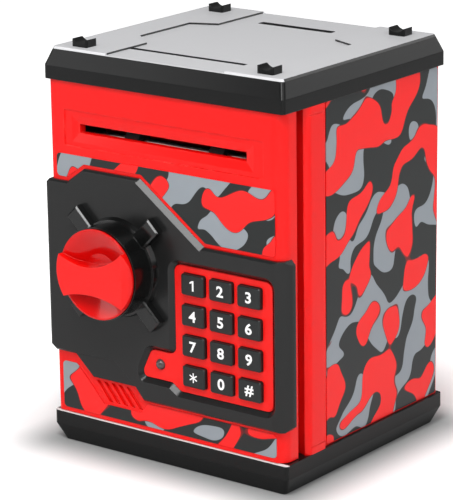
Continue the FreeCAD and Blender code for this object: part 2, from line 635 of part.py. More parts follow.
def knob_collar():
    """Fixed ring behind the knob with a wider foot and four diagonal arms."""
    ring = rod(COLLAR_R, (KNOB_X, TRIM_FACE, KNOB_Z), (0, -1, 0), TRIM_FACE - COLLAR_FRONT)
    foot = Part.makeCone(COLLAR_R + 1.8, COLLAR_R + 0.8, 2.6, Vec(KNOB_X, TRIM_FACE, KNOB_Z), Vec(0, -1, 0))
    arms = []
    for quarter in range(4):
        plan = rectangle(KNOB_X + 18, KNOB_X + 33.5, KNOB_Z - 4, KNOB_Z + 4)
        arm = bevelled_y(plan, TRIM_FACE, TRIM_FACE - 4.4, 0.8)
        arm.rotate(Vec(KNOB_X, 0, KNOB_Z), Vec(0, 1, 0), 45 + 90 * quarter)
        arms.append(arm)
    collar = fuse(ring, foot, *arms)
    hollow = rod(COLLAR_R - 3.0, (KNOB_X, TRIM_FACE - 2.0, KNOB_Z), (0, -1, 0), 20)
    bush = rod(6.0, (KNOB_X, TRIM_FACE - 2.0, KNOB_Z), (0, -1, 0), 6.0)
    return fuse(collar.cut(hollow), bush).cut(rod(SHAFT_R + RUN, (KNOB_X, -90, KNOB_Z), (0, 1, 0), 60))


def keypad_bezel():
    front = block_y(BEZEL_OUTLINE, BEZEL_FACE, DOOR_INNER, 3.5)
    flange = block_y(inset(BEZEL_OUTLINE, -2.6), DOOR_INNER, KEY_FLANGE_FRONT, 3.5)
    flange = flange.common(box(-30, BODY_HALF_X - WALL - 3.1, -70, -50, 0, 200))
    bezel = fuse(front, flange)
    for x, z in key_places():
        window = inset(key_plan(x, z), -0.2)
        bezel = bezel.cut(block_y(window, BEZEL_FACE - 1, KEY_FLANGE_FRONT + 1, 1.2))
    return bezel.cut(rod(2.6, (LED_X, BEZEL_FACE - 1, LED_Z), (0, 1, 0), 10))


def key_places():
    return [(x, z) for z in KEY_ROWS for x in KEY_COLUMNS]


def key_plan(x, z):
    return rectangle(x - KEY_W / 2, x + KEY_W / 2, z - KEY_H / 2, z + KEY_H / 2)


def key(x, z):
    cap = key_plan(x, z)
    flange = inset(cap, -0.8)
    return fuse(bevelled_y(cap, KEY_FLANGE_FRONT, KEY_FACE, 0.5, 1.1),
                block_y(flange, KEY_FLANGE_FRONT, KEY_FLANGE_BACK, 1.1))


def status_led():
    body = rod(2.5, (LED_X, BEZEL_FACE + 0.6, LED_Z), (0, 1, 0), MAT_BACK - BEZEL_FACE - 0.6)
    dome = Part.makeSphere(2.5, Vec(LED_X, BEZEL_FACE + 0.6, LED_Z)).common(
        box(LED_X - 3, LED_X + 3, BEZEL_FACE - 3, BEZEL_FACE + 0.6, LED_Z - 3, LED_Z + 3))
    return fuse(body, dome)


KEYPAD_AREA = rectangle(8.0, 53.8, 40.5, 96.5)


def keypad_mat():
    sheet = block_y(KEYPAD_AREA, MAT_FRONT + 0.6, MAT_BACK, 2.0)
    pips = [rod(2.6, (x, MAT_FRONT, z), (0, 1, 0), 0.8) for x, z in key_places()]
    return fuse(sheet, *pips)


def keypad_board():
    sheet = block_y(KEYPAD_AREA, MAT_BACK, BOARD_BACK, 1.0)
    tab = box(-8.0, 9.0, MAT_BACK, BOARD_BACK, 44.0, 54.0)
    chip = box(20, 30, BOARD_BACK, BOARD_BACK + 2.2, 62, 72)
    return fuse(sheet, tab, chip)


def front_print():
    behind = FRONT_Y - FILM
    sheets = [block_y(points, behind, FRONT_Y, 2.0) for points in (UPPER_PRINT, LOWER_PRINT)]
    return sheets


# ---------------------------------------------------------------- latch
LOCK_POSTS = ((-46.0, 72.0), (-4.0, 72.0), (-46.0, 118.0), (-6.0, 118.0))
BOLT_TIP = -54.3
BOLT_END = -6.0
RACK_Z = KNOB_Z - LATCH_PITCH_R
BOLT_ROOT_Z = RACK_Z - LATCH_MODULE * 1.15
LUG_HEIGHT = 3.2
BOLT_LOW = RACK_Z - 7.0
LUG_LEFT = 2.3
SOLENOID_X = -42.0
SOLENOID_LOW = 98.0
PLUNGER_R = 1.5


def lock_plate():
    """Sheet on the door's posts that carries the latch and the solenoid."""
    plate = block_y(rectangle(-50.0, -2.0, 69.0, 121.0), LOCK_PLATE_FRONT, LOCK_PLATE_BACK, 2.0)
    plate = plate.cut(rod(SHAFT_R + 0.3, (KNOB_X, -60, KNOB_Z), (0, 1, 0), 20))
    guides = [box(x - 1.5, x + 1.5, LOCK_PLATE_BACK, LATCH_BACK + 1.5, BOLT_LOW - 2.4, BOLT_LOW - 0.15)
              for x in (-47.5, -12.0)]
    caps = [box(x - 1.5, x + 1.5, LATCH_BACK + 0.15, LATCH_BACK + 1.5, BOLT_LOW - 2.4, BOLT_LOW + 3.5)
            for x in (-47.5, -12.0)]
    return fuse(plate, *guides, *caps)


def latch_pinion():
    return gear(LATCH_MODULE, LATCH_TEETH, (KNOB_X, KNOB_Z), LATCH_FRONT, LATCH_BACK - LATCH_FRONT,
                0.9, SHAFT_R, -math.pi / 2 + math.pi / LATCH_TEETH)


def latch_bolt():
    """Flat bolt with a rack along its top; the rack's teeth fit between the pinion's."""
    pitch = math.pi * LATCH_MODULE
    root = BOLT_ROOT_Z
    tip = RACK_Z + LATCH_MODULE * 0.9
    lean = math.tan(math.radians(20))
    half = (pitch / 2 - GEAR_BACKLASH) / 2
    blank = box(BOLT_TIP, BOLT_END, LATCH_FRONT, LATCH_BACK, BOLT_LOW, root)
    teeth = []
    for step in range(-1, 6):
        x = KNOB_X + pitch * step
        foot = half + (RACK_Z - root) * lean
        top = half - (tip - RACK_Z) * lean
        profile = [(x - foot, root), (x + foot, root), (x + top, tip), (x - top, tip)]
        teeth.append(block_y(profile, LATCH_FRONT, LATCH_BACK))
    lug_x = SOLENOID_X + LUG_LEFT
    lug = box(lug_x, lug_x + 2.8, LATCH_FRONT + 0.6, LATCH_BACK - 0.4, root, root + LUG_HEIGHT)
    return fuse(blank, *teeth, lug)


def lock_solenoid():
    """Open-framed coil with a bore for the plunger, and a shelf that steadies its tip."""
    x, y = SOLENOID_X, (LATCH_FRONT + LATCH_BACK) / 2
    frame = box(x - 8, x + 8, LOCK_PLATE_BACK, LOCK_PLATE_BACK + 8.0, SOLENOID_LOW, SOLENOID_LOW + 19)
    shelf = box(x - 4, x + 4, LOCK_PLATE_BACK, LOCK_PLATE_BACK + 6.0, 92.6, 94.0)
    web = box(x - 4, x + 4, LOCK_PLATE_BACK, LOCK_PLATE_BACK + 0.8, 92.6, SOLENOID_LOW)
    bore = rod(PLUNGER_R + RUN, (x, y, 90), (0, 0, 1), 40)
    return fuse(frame, shelf, web).cut(bore)


def lock_plunger():
    x, y = SOLENOID_X, (LATCH_FRONT + LATCH_BACK) / 2
    return rod(PLUNGER_R, (x, y, BOLT_ROOT_Z + LUG_HEIGHT + 0.4), (0, 0, 1), 24.0)


# ---------------------------------------------------------------- knob
KNOB_INNER_BACK = -73.0
SHAFT_FRONT = KNOB_FACE + 2.5
SCOOP_FLOOR = -75.8            # deepest part of the finger scoops
SCOOP_FLOOR_R = 9.0
SCOOP_RIM_R = 20.2
POINTER_START = 16.8           # where the bar's pointer end starts to slope down to the rim
GRIP_TOP = ((-24.0, 10.4), (-4.8, 3.6), (24.0, 24.7))
GRIP_BOTTOM = ((24.0, -17.1), (-1.7, -9.3), (-24.0, -15.0))


def grip_bar():
    """Prism of the grip bar, its long edges curved in towards the middle."""
    def place(point):
        return Vec(KNOB_X + point[0], -90, KNOB_Z + point[1])
    top = Part.Arc(*[place(p) for p in GRIP_TOP]).toShape()
    bottom = Part.Arc(*[place(p) for p in GRIP_BOTTOM]).toShape()
    ends = [Part.LineSegment(place(GRIP_TOP[2]), place(GRIP_BOTTOM[0])).toShape(),
            Part.LineSegment(place(GRIP_BOTTOM[2]), place(GRIP_TOP[0])).toShape()]
    return Part.Face(Part.Wire([top, ends[0], bottom, ends[1]])).extrude(Vec(0, 40, 0))


def knob():
    """Round turning knob: a waisted grip bar between two dished finger scoops."""
    disc = rod(KNOB_R, (KNOB_X, KNOB_BACK, KNOB_Z), (0, -1, 0), KNOB_BACK - KNOB_FACE)
    body = rod(COLLAR_R - 3.4, (KNOB_X, KNOB_INNER_BACK, KNOB_Z), (0, -1, 0), KNOB_INNER_BACK - KNOB_BACK)
    front = rod(KNOB_R + 1, (KNOB_X, KNOB_RIM, KNOB_Z), (0, -1, 0), 10)
    rim_centre = Vec(KNOB_X, KNOB_RIM, KNOB_Z)
    dish = Part.makeCone(SCOOP_RIM_R, SCOOP_FLOOR_R, SCOOP_FLOOR - KNOB_RIM, rim_centre, Vec(0, 1, 0))
    scoops = fuse(front, dish).cut(grip_bar())
    slope = [(KNOB_X + POINTER_START, KNOB_FACE), (KNOB_X + KNOB_R, KNOB_RIM), (KNOB_X + 30, KNOB_RIM),
             (KNOB_X + 30, -90), (KNOB_X + POINTER_START, -90)]
    blank = fuse(disc, body).cut(scoops).cut(block_z(slope, KNOB_Z - 30, KNOB_Z + 30))
    return blank.cut(rod(SHAFT_R, (KNOB_X, SHAFT_FRONT, KNOB_Z), (0, 1, 0), 20))


def knob_shaft():
    return rod(SHAFT_R, (KNOB_X, SHAFT_FRONT, KNOB_Z), (0, 1, 0), LATCH_BACK + 0.8 - SHAFT_FRONT)


# ---------------------------------------------------------------- inside the door
def door_back_cover():
    left, right, low, high = COVER_OUTLINE
    outer = block_y(rectangle(*COVER_OUTLINE), COVER_RIM, COVER_BACK, 3.0)
    inner = block_y(inset(rectangle(*COVER_OUTLINE), COVER_WALL), COVER_RIM - 1, COVER_FRONT, 1.5)
    cover = outer.cut(inner)
    front, back = LATCH_FRONT - 0.5, LATCH_BACK + 0.5
    cover = cover.cut(box(left - 1, left + 3, front, back, BOLT_LOW - 0.5, BOLT_ROOT_Z + 0.5))
    for x, z in DOOR_SCREWS:
        cover = cover.cut(rod(1.7, (x, COVER_FRONT - 1, z), (0, 1, 0), 5))
    for row in range(6):
        z = 56 + 4.5 * row
        cover = cover.cut(box(16, 40, COVER_BACK - 0.8, COVER_BACK + 1, z, z + 1.6))
    return cover


def door_cover_screws():
    return [screw_y(x, z, COVER_BACK + 1.4, -50.0, 2.8, 1.3) for x, z in DOOR_SCREWS]


def speaker():
    x, z = -29.0, 33.6
    ring = rod(13.0, (x, DOOR_INNER, z), (0, 1, 0), 2.0)
    basket = Part.makeCone(12.0, 7.5, 4.0, Vec(x, DOOR_INNER + 2.0, z), Vec(0, 1, 0))
    magnet = rod(7.5, (x, DOOR_INNER + 6.0, z), (0, 1, 0), 3.5)
    cone = Part.makeCone(10.5, 3.0, 3.0, Vec(x, DOOR_INNER, z), Vec(0, 1, 0))
    return fuse(ring, basket, magnet).cut(cone)


def main_board():
    front = BOARD_BACK + 5.0
    sheet = block_y(rectangle(10.0, 52.0, 42.0, 95.0), front, front + 1.6, 1.5)
    spacers = [rod(2.0, (x, BOARD_BACK, z), (0, 1, 0), 5.0) for x in (13.0, 49.0) for z in (45.0, 92.0)]
    chip = box(24, 36, front + 1.6, front + 3.4, 60, 72)
    plug = box(40, 50, front + 1.6, front + 5.6, 46, 51)
    cans = [rod(3.0, (18, front + 1.6, z), (0, 1, 0), 4.0) for z in (55, 63)]
    return fuse(sheet, *spacers, chip, plug, *cans)


FRAME_FRONT = -56.4
FRAME_PLATE_BACK = -54.6
CHEEKS = ((-51.5, -49.5), (47.5, 49.5))
GEAR_LEFT = CHEEKS[1][1] + 0.6
GEAR_WIDTH = 3.0
MOTOR_LENGTH = 20.0
MOTOR_R = 6.0
TYRE_SPANS = ((-29.0, -21.0), (19.0, 27.0))
MOTOR_SHAFT_R = 1.0


def feeder_frame():
    """Channel-shaped bracket behind the bill slot: a front plate and two cheeks that carry the rollers."""
    plate = box(CHEEKS[0][0], CHEEKS[1][1], FRAME_FRONT, FRAME_PLATE_BACK, 144.0, 165.0)
    cheeks = [box(left, right, FRAME_FRONT, -42.0, low, 165.0)
              for (left, right), low in zip(CHEEKS, (140.0, MOTOR_Z - 7.0))]
    frame = fuse(plate, *cheeks)
    frame = frame.cut(box(-49.4, 47.4, FRAME_FRONT - 1, FRAME_PLATE_BACK + 1, SLOT_Z - 2.9, SLOT_Z + 2.9))
    for z in (DRIVE_Z, IDLER_Z):
        frame = frame.cut(rod(ROLLER_SHAFT_R + RUN, (-60, ROLLER_Y, z), (1, 0, 0), 120))
    return frame.cut(rod(2.0, (40, ROLLER_Y, MOTOR_Z), (1, 0, 0), 15))


def feed_motor():
    can = rod(MOTOR_R, (CHEEKS[1][0], ROLLER_Y, MOTOR_Z), (-1, 0, 0), MOTOR_LENGTH)
    tail = rod(2.5, (CHEEKS[1][0] - MOTOR_LENGTH, ROLLER_Y, MOTOR_Z), (-1, 0, 0), 1.5)
    bore = rod(MOTOR_SHAFT_R + RUN, (CHEEKS[1][0] - 6, ROLLER_Y, MOTOR_Z), (1, 0, 0), 10)
    return fuse(can, tail).cut(bore)


def motor_pinion():
    """The pinion with the motor's shaft; a gap of the gear faces its lowest tooth."""
    middle = (ROLLER_Y, MOTOR_Z)
    wheel = gear(FEED_MODULE, MOTOR_TEETH, middle, GEAR_LEFT, GEAR_WIDTH, 0.8, 0.0, math.pi / 2, "x")
    start = CHEEKS[1][0] - 5.5
    return fuse(wheel, rod(MOTOR_SHAFT_R, (start, ROLLER_Y, MOTOR_Z), (1, 0, 0), GEAR_LEFT - start))


def drive_gear():
    middle = (ROLLER_Y, DRIVE_Z)
    turn = -math.pi / 2 + math.pi / DRIVE_TEETH
    return gear(FEED_MODULE, DRIVE_TEETH, middle, GEAR_LEFT, GEAR_WIDTH, 0.8, ROLLER_SHAFT_R, turn, "x")


def roller_shaft(z, end):
    return rod(ROLLER_SHAFT_R, (CHEEKS[0][0] - 0.8, ROLLER_Y, z), (1, 0, 0), end - CHEEKS[0][0] + 0.8)


def tyres(z):
    rings = []
    for left, right in TYRE_SPANS:
        ring = rod(TYRE_R, (left, ROLLER_Y, z), (1, 0, 0), right - left)
        rings.append(ring.cut(rod(ROLLER_SHAFT_R, (left, ROLLER_Y, z), (1, 0, 0), right - left)))
    return rings


def bill_sensor():
    return box(-5.0, 5.0, FRAME_PLATE_BACK, -51.6, SLOT_Z + 3.4, SLOT_Z + 7.5)


# ---------------------------------------------------------------- write every node
def main():
    save("base", base())
    save("hinge_pins", *hinge_pins())
    save("battery_tray", battery_tray())
    save("aa_cells", *aa_cells())
    save("battery_springs", *battery_springs())
    save("battery_contacts", *battery_contacts())
    save("battery_cover", battery_cover())
    save("battery_cover_screw", battery_cover_screw())
    save("housing_shell", housing_shell())
    save("hinge_post", hinge_post())
    save("side_print_right", side_print(1, -29.8))
    save("side_print_left", side_print(-1, -44.0))
    save("strike_plate", strike_plate())
    save("case_screws", *case_screws())
    save("lid", lid())
    save("lid_plate", lid_plate())
    save("lid_corner_posts", *lid_corner_posts())
    save("door_panel", door_panel())
    save("door_trim", door_trim())
    save("front_print", *front_print())
    save("knob_collar", knob_collar())
    save("keypad_bezel", keypad_bezel())
    save("keypad_mat", keypad_mat())
    save("keypad_board", keypad_board())
    save("status_led", status_led())
    for names, z in zip(KEY_NAMES, KEY_ROWS):
        for name, x in zip(names, KEY_COLUMNS):
            save("key_" + name, key(x, z))
    save("knob", knob())
    save("knob_shaft", knob_shaft())
    save("latch_pinion", latch_pinion())
    save("latch_bolt", latch_bolt())
    save("lock_plate", lock_plate())
    save("lock_solenoid", lock_solenoid())
    save("lock_plunger", lock_plunger())
    save("door_back_cover", door_back_cover())
    save("door_cover_screws", *door_cover_screws())
    save("main_board", main_board())
    save("speaker", speaker())
    save("feeder_frame", feeder_frame())
    save("feed_motor", feed_motor())
    save("motor_pinion", motor_pinion())
    save("drive_shaft", roller_shaft(DRIVE_Z, GEAR_LEFT + GEAR_WIDTH))
    save("drive_gear", drive_gear())
    save("drive_tyres", *tyres(DRIVE_Z))
    save("idler_shaft", roller_shaft(IDLER_Z, CHEEKS[1][1] + 0.8))
    save("idler_tyres", *tyres(IDLER_Z))
    save("bill_sensor", bill_sensor())


main()
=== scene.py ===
"""A toy savings bank in the shape of a cash machine: finishes, light and camera around the fixed frame.

Metres, +Z up. The door faces -Y and +X is to its right.
"""
import json
import math

import bmesh
import bpy
from mathutils import Matrix, Vector


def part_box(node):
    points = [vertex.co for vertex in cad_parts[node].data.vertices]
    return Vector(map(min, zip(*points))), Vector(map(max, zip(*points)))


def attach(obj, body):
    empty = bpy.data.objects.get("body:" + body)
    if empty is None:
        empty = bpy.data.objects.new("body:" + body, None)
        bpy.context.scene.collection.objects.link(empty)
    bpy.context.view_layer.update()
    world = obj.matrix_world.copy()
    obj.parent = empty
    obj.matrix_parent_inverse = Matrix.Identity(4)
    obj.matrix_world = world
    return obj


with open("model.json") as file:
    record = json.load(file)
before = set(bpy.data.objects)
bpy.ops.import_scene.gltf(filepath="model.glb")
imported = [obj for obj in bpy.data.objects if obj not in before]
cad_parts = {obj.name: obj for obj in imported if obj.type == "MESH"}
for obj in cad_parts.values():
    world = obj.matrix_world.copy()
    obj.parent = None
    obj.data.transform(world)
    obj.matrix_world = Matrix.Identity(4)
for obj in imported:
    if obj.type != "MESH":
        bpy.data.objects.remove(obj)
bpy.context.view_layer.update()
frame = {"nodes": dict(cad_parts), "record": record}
nodes = frame["nodes"]
scene = bpy.context.scene
MM = 0.001
WHITE = (1, 1, 1, 1)


# ---------------------------------------------------------------- node helpers
def add(tree, kind, **settings):
    node = tree.nodes.new(kind)
    for name, value in settings.items():
        setattr(node, name, value)
    return node


def feed(tree, socket, value):
    """Link another node's socket to this one, or set it to a plain value."""
    if value is None:
        return
    if isinstance(value, bpy.types.NodeSocket):
        tree.links.new(value, socket)
    else:
        socket.default_value = value


def feed_all(tree, node, **values):
    """Feed the inputs that are named, with _ in place of each space."""
    for name, value in values.items():
        feed(tree, node.inputs[name.replace("_", " ")], value)
    return node


def maths(tree, operation, first, second=None, third=None, clamp=False):
    node = add(tree, "ShaderNodeMath", operation=operation, use_clamp=clamp)
    for slot, value in enumerate((first, second, third)):
        feed(tree, node.inputs[slot], value)
    return node.outputs[0]


def vector_maths(tree, operation, first, second=None, output="Vector"):
    node = add(tree, "ShaderNodeVectorMath", operation=operation)
    feed(tree, node.inputs[0], first)
    feed(tree, node.inputs[1], second)
    return node.outputs[output]


def within(tree, value, reach):
    """1 where the value is nearer to 0 than the reach, and 0 elsewhere."""
    return maths(tree, "LESS_THAN", maths(tree, "ABSOLUTE", value), reach)


def blend_colours(tree, amount, first, second):
    node = add(tree, "ShaderNodeMix", data_type="RGBA")
    feed(tree, node.inputs["Factor"], amount)
    feed(tree, node.inputs[6], first)
    feed(tree, node.inputs[7], second)
    return node.outputs[2]


def noise(tree, vector, scale, detail=2.0, roughness=0.5, output="Fac"):
    node = add(tree, "ShaderNodeTexNoise", noise_dimensions="3D")
    feed_all(tree, node, Vector=vector, Scale=scale, Detail=detail, Roughness=roughness)
    return node.outputs[output]


def object_place(tree):
    return add(tree, "ShaderNodeTexCoord").outputs["Object"]


def split(tree, vector):
    """The X, Y and Z sockets of a vector."""
    node = add(tree, "ShaderNodeSeparateXYZ")
    feed(tree, node.inputs[0], vector)
    return node.outputs


def fade(tree, distance, reach, ends):
    """Smooth change from one value to the other over the reach."""
    node = add(tree, "ShaderNodeMapRange", interpolation_type="SMOOTHSTEP")
    feed_all(tree, node, Value=distance, From_Min=0.0, From_Max=reach, To_Min=ends[0], To_Max=ends[1])
    return node.outputs["Result"]


def new_group(name, inputs, outputs):
    """A shader node group with named sockets; each input is (name, kind, default)."""
    tree = bpy.data.node_groups.new(name, "ShaderNodeTree")
    for label, kind, default in inputs:
        socket = tree.interface.new_socket(label, in_out="INPUT", socket_type="NodeSocket" + kind)
        socket.default_value = default
    for label, kind in outputs:
        tree.interface.new_socket(label, in_out="OUTPUT", socket_type="NodeSocket" + kind)
    return tree, add(tree, "NodeGroupInput").outputs, add(tree, "NodeGroupOutput").inputs


def place_group(tree, group, **values):
    return feed_all(tree, add(tree, "ShaderNodeGroup", node_tree=group), **values).outputs


# ---------------------------------------------------------------- shared effects
GRAIN_BUMP = 0.1 * MM
CLOUDS_PER_METRE = 38.0           # patches of uneven gloss
LEAST_ROUGHNESS = 0.03
EDGE_GAIN = 9.0                   # how soon a rounded edge counts as one
RUBS_PER_METRE = 160.0            # breaks in the rubbed edges
RUB_LEVEL = 0.42
RUB_GAIN = 4.0


def build_moulded_skin():
    """Rounded edges, fine mould grain, uneven gloss and a rub mark mask for anything moulded or pressed."""
    tree, given, result = new_group(
        "moulded_skin",
        [("Edge", "Float", 0.0003), ("Grain Size", "Float", 0.0004), ("Grain Depth", "Float", 0.1),
         ("Roughness", "Float", 0.3), ("Unevenness", "Float", 0.05)],
        [("Normal", "Vector"), ("Roughness", "Float"), ("Wear", "Float")])
    where = object_place(tree)
    edge = feed_all(tree, add(tree, "ShaderNodeBevel", samples=6), Radius=given["Edge"]).outputs["Normal"]
    grain = noise(tree, where, maths(tree, "DIVIDE", 1.0, given["Grain Size"]), detail=1.0)
    bump = feed_all(tree, add(tree, "ShaderNodeBump"), Strength=given["Grain Depth"], Distance=GRAIN_BUMP,
                    Height=grain, Normal=edge)
    feed(tree, result["Normal"], bump.outputs["Normal"])
    cloud = maths(tree, "SUBTRACT", noise(tree, where, CLOUDS_PER_METRE, detail=4.0, roughness=0.6), 0.5)
    rough = maths(tree, "MULTIPLY_ADD", cloud, given["Unevenness"], given["Roughness"])
    feed(tree, result["Roughness"], maths(tree, "MAXIMUM", rough, LEAST_ROUGHNESS))
    flat = add(tree, "ShaderNodeNewGeometry").outputs["Normal"]
    lean = vector_maths(tree, "DOT_PRODUCT", edge, flat, output="Value")
    turned = maths(tree, "MULTIPLY", maths(tree, "SUBTRACT", 1.0, lean), EDGE_GAIN, clamp=True)
    marks = maths(tree, "SUBTRACT", noise(tree, where, RUBS_PER_METRE, detail=5.0), RUB_LEVEL)
    rubbed = maths(tree, "MULTIPLY", marks, RUB_GAIN, clamp=True)
    feed(tree, result["Wear"], maths(tree, "MULTIPLY", turned, rubbed))
    return tree


SWIRL_SIZE = 0.020
SWIRL_REACH = 0.018
BLOB_STRETCH = 1.7
BLOB_SLANT = (math.radians(-54.7), 0, math.radians(-45))
DARK_START = (13.37, 17.38, 9.36)
BRIGHT_START = (24.01, 31.21, 16.81)
OUTLINE_SPREAD = 0.012            # how far the outline reaches past a bright blob, in noise value
PRINT_SHARPNESS = 200.0


def crisp(tree, field, cover, spread=0.0):
    """1 where the field is above 1 - cover, less the spread, with a narrow soft edge."""
    level = maths(tree, "SUBTRACT", 1.0 - spread, cover)
    above = maths(tree, "SUBTRACT", field, level)
    return maths(tree, "MULTIPLY_ADD", above, PRINT_SHARPNESS, 0.5, clamp=True)


def build_camouflage():
    """Crisp rounded blobs in three colours, bent by a slow swirl and drawn out along a slant."""
    tree, given, result = new_group(
        "camouflage",
        [("Blob Size", "Float", 0.02), ("Dark Cover", "Float", 0.5), ("Bright Cover", "Float", 0.46),
         ("Ground", "Color", (0.2, 0.2, 0.2, 1)), ("Dark", "Color", (0.01, 0.01, 0.01, 1)),
         ("Bright", "Color", (0.8, 0.01, 0.01, 1)), ("Outline", "Color", (0.2, 0.0, 0.0, 1))],
        [("Color", "Color")])
    where = object_place(tree)
    swirl = noise(tree, where, 1 / SWIRL_SIZE, detail=0.0, output="Color")
    centred = vector_maths(tree, "SUBTRACT", swirl, (0.5, 0.5, 0.5))
    bent = vector_maths(tree, "ADD", where, vector_maths(tree, "MULTIPLY", centred, (SWIRL_REACH,) * 3))
    slant = feed_all(tree, add(tree, "ShaderNodeMapping", vector_type="TEXTURE"), Vector=bent,
                     Rotation=BLOB_SLANT, Scale=(1.0, 1.0, BLOB_STRETCH)).outputs["Vector"]
    scale = maths(tree, "DIVIDE", 1.0, given["Blob Size"])
    dark_field = noise(tree, vector_maths(tree, "ADD", slant, DARK_START), scale, detail=0.0)
    bright_field = noise(tree, vector_maths(tree, "ADD", slant, BRIGHT_START), scale, detail=0.0)
    dark = crisp(tree, dark_field, given["Dark Cover"])
    bright = crisp(tree, bright_field, given["Bright Cover"])
    rim = crisp(tree, bright_field, given["Bright Cover"], OUTLINE_SPREAD)
    colour = blend_colours(tree, dark, given["Ground"], given["Dark"])
    colour = blend_colours(tree, rim, colour, given["Outline"])
    feed(tree, result["Color"], blend_colours(tree, bright, colour, given["Bright"]))
    return tree


SKIN = build_moulded_skin()
CAMOUFLAGE = build_camouflage()


# ---------------------------------------------------------------- materials
RED = (0.78, 0.004, 0.003, 1)
# paler red of the rubbed edges: wear, and also a painted highlight along the red parts' edges
PALE_RED_WEAR_AND_HIGHLIGHT = (0.9, 0.06, 0.05, 1)
LID_STEP_REACH = 0.0585           # the lid plate's upright walls are painted dark, as shade, this far either way along Y
LID_GROOVE_LEVEL = 0.1874         # and all of it is painted dark, as shade, below this height
# where the painted highlight lies on the sill in front of the door
SILL_Z = 0.0148
SILL_TOLERANCE = 0.0002
SILL_BACK = -0.0605
SCOOP_START = -0.0818             # painted shade starts to darken the knob's red here
SCOOP_DEPTH = 0.0035              # and is darkest this far behind
SCOOP_PAINTED_SHADE = 0.75
TRACKS_PER_METRE = 240.0
TRACK_WIDTH = 0.12
TRACK_HEIGHT = 0.05 * MM
HAZE_PER_METRE = 900.0
CELL_BAND_REACH = 0.012           # half the length of the pale band


def start_material(name):
    material = bpy.data.materials.new(name)
    material.use_nodes = True
    tree = material.node_tree
    tree.nodes.clear()
    shader = add(tree, "ShaderNodeBsdfPrincipled")
    feed_all(tree, add(tree, "ShaderNodeOutputMaterial"), Surface=shader.outputs["BSDF"])
    return material, tree, shader


def skin_on(tree, shader, **values):
    """Give the shader the moulded skin's surface; returns the mask of its rubbed edges."""
    skin = place_group(tree, SKIN, **values)
    feed_all(tree, shader, Normal=skin["Normal"], Roughness=skin["Roughness"])
    return skin["Wear"]


def moulded(name, colour, pale_edge_colour, roughness, edge=0.3, grain=0.4, depth=0.08, coat=0.0, specular=0.5):
    """A moulded plastic, paler where its edges are rubbed; on the red mouldings the pale edges are also a
    painted highlight. Edge and grain are in millimetres.
    """
    material, tree, shader = start_material(name)
    wear = skin_on(tree, shader, Edge=edge * MM, Grain_Size=grain * MM, Grain_Depth=depth,
                   Roughness=roughness, Unevenness=0.06)
    flow = noise(tree, object_place(tree), 9.0, detail=3.0)
    deeper = tuple(c * 0.93 for c in colour[:3]) + (1,)
    base = blend_colours(tree, flow, deeper, colour)
    feed_all(tree, shader, Base_Color=blend_colours(tree, wear, base, pale_edge_colour), Coat_Weight=coat,
             Coat_Roughness=0.06, Specular_IOR_Level=specular)
    return material


def paint_over(material, mask, colour):
    """Cover the material's own colour with another where the mask is 1."""
    tree = material.node_tree
    shader = next(node for node in tree.nodes if node.type == "BSDF_PRINCIPLED")
    paint = shader.inputs["Base Color"].links[0].from_socket
    feed_all(tree, shader, Base_Color=blend_colours(tree, mask, paint, colour))
    return material


def lid_plate_with_painted_shade():
    """Grey moulding whose step walls and cross groove are painted near black as shade."""
    material = moulded("grey_lid_plastic", (0.58, 0.58, 0.595, 1), (0.6, 0.6, 0.6, 1), 0.3, edge=0.15,
                       grain=0.3, depth=0.1)
    tree = material.node_tree
    place = split(tree, object_place(tree))
    facing = split(tree, add(tree, "ShaderNodeNewGeometry").outputs["True Normal"])
    upright = within(tree, facing["Z"], 0.5)
    step_wall = maths(tree, "MULTIPLY", upright, within(tree, place["Y"], LID_STEP_REACH))
    groove = maths(tree, "LESS_THAN", place["Z"], LID_GROOVE_LEVEL)
    # near black painted shade on the step walls and in the groove
    return paint_over(material, maths(tree, "MAXIMUM", step_wall, groove), (0.012, 0.012, 0.012, 1))


def knob_with_painted_scoop_shade():
    """Glossy red, painted darker inside the finger scoops as shade."""
    material = moulded("knob_red", RED, PALE_RED_WEAR_AND_HIGHLIGHT, 0.16, edge=0.5, coat=0.15, specular=0.2)
    tree = material.node_tree
    behind = maths(tree, "SUBTRACT", split(tree, object_place(tree))["Y"], SCOOP_START)
    depth = maths(tree, "DIVIDE", behind, SCOOP_DEPTH, clamp=True)
    # deep red laid on as painted shade, strongest at the back of the scoops
    return paint_over(material, maths(tree, "MULTIPLY", depth, SCOOP_PAINTED_SHADE), (0.42, 0.001, 0.001, 1))


def rim_plastic_with_painted_sill_highlight():
    """Black moulding of lid and base, with a painted highlight: a pale line on the sill in front of the
    door.
    """
    material = moulded("black_plastic", (0.006, 0.0062, 0.0062, 1), (0.03, 0.03, 0.03, 1), 0.2, edge=0.5,
                       grain=0.3, specular=0.16)
    tree = material.node_tree
    place = split(tree, object_place(tree))
    level = within(tree, maths(tree, "SUBTRACT", place["Z"], SILL_Z), SILL_TOLERANCE)
    front = maths(tree, "LESS_THAN", place["Y"], SILL_BACK)
    # the pale colour is a painted highlight along the sill
    return paint_over(material, maths(tree, "MULTIPLY", level, front), (0.7, 0.68, 0.68, 1))


def metal(name, colour, roughness, grain, depth, edge=0.15):
    material, tree, shader = start_material(name)
    wear = skin_on(tree, shader, Edge=edge * MM, Grain_Size=grain * MM, Grain_Depth=depth,
                   Roughness=roughness, Unevenness=0.2)
    bright = tuple(min(1.0, c * 1.25) for c in colour[:3]) + (1,)
    feed_all(tree, shader, Base_Color=blend_colours(tree, wear, colour, bright), Metallic=1.0)
    return material


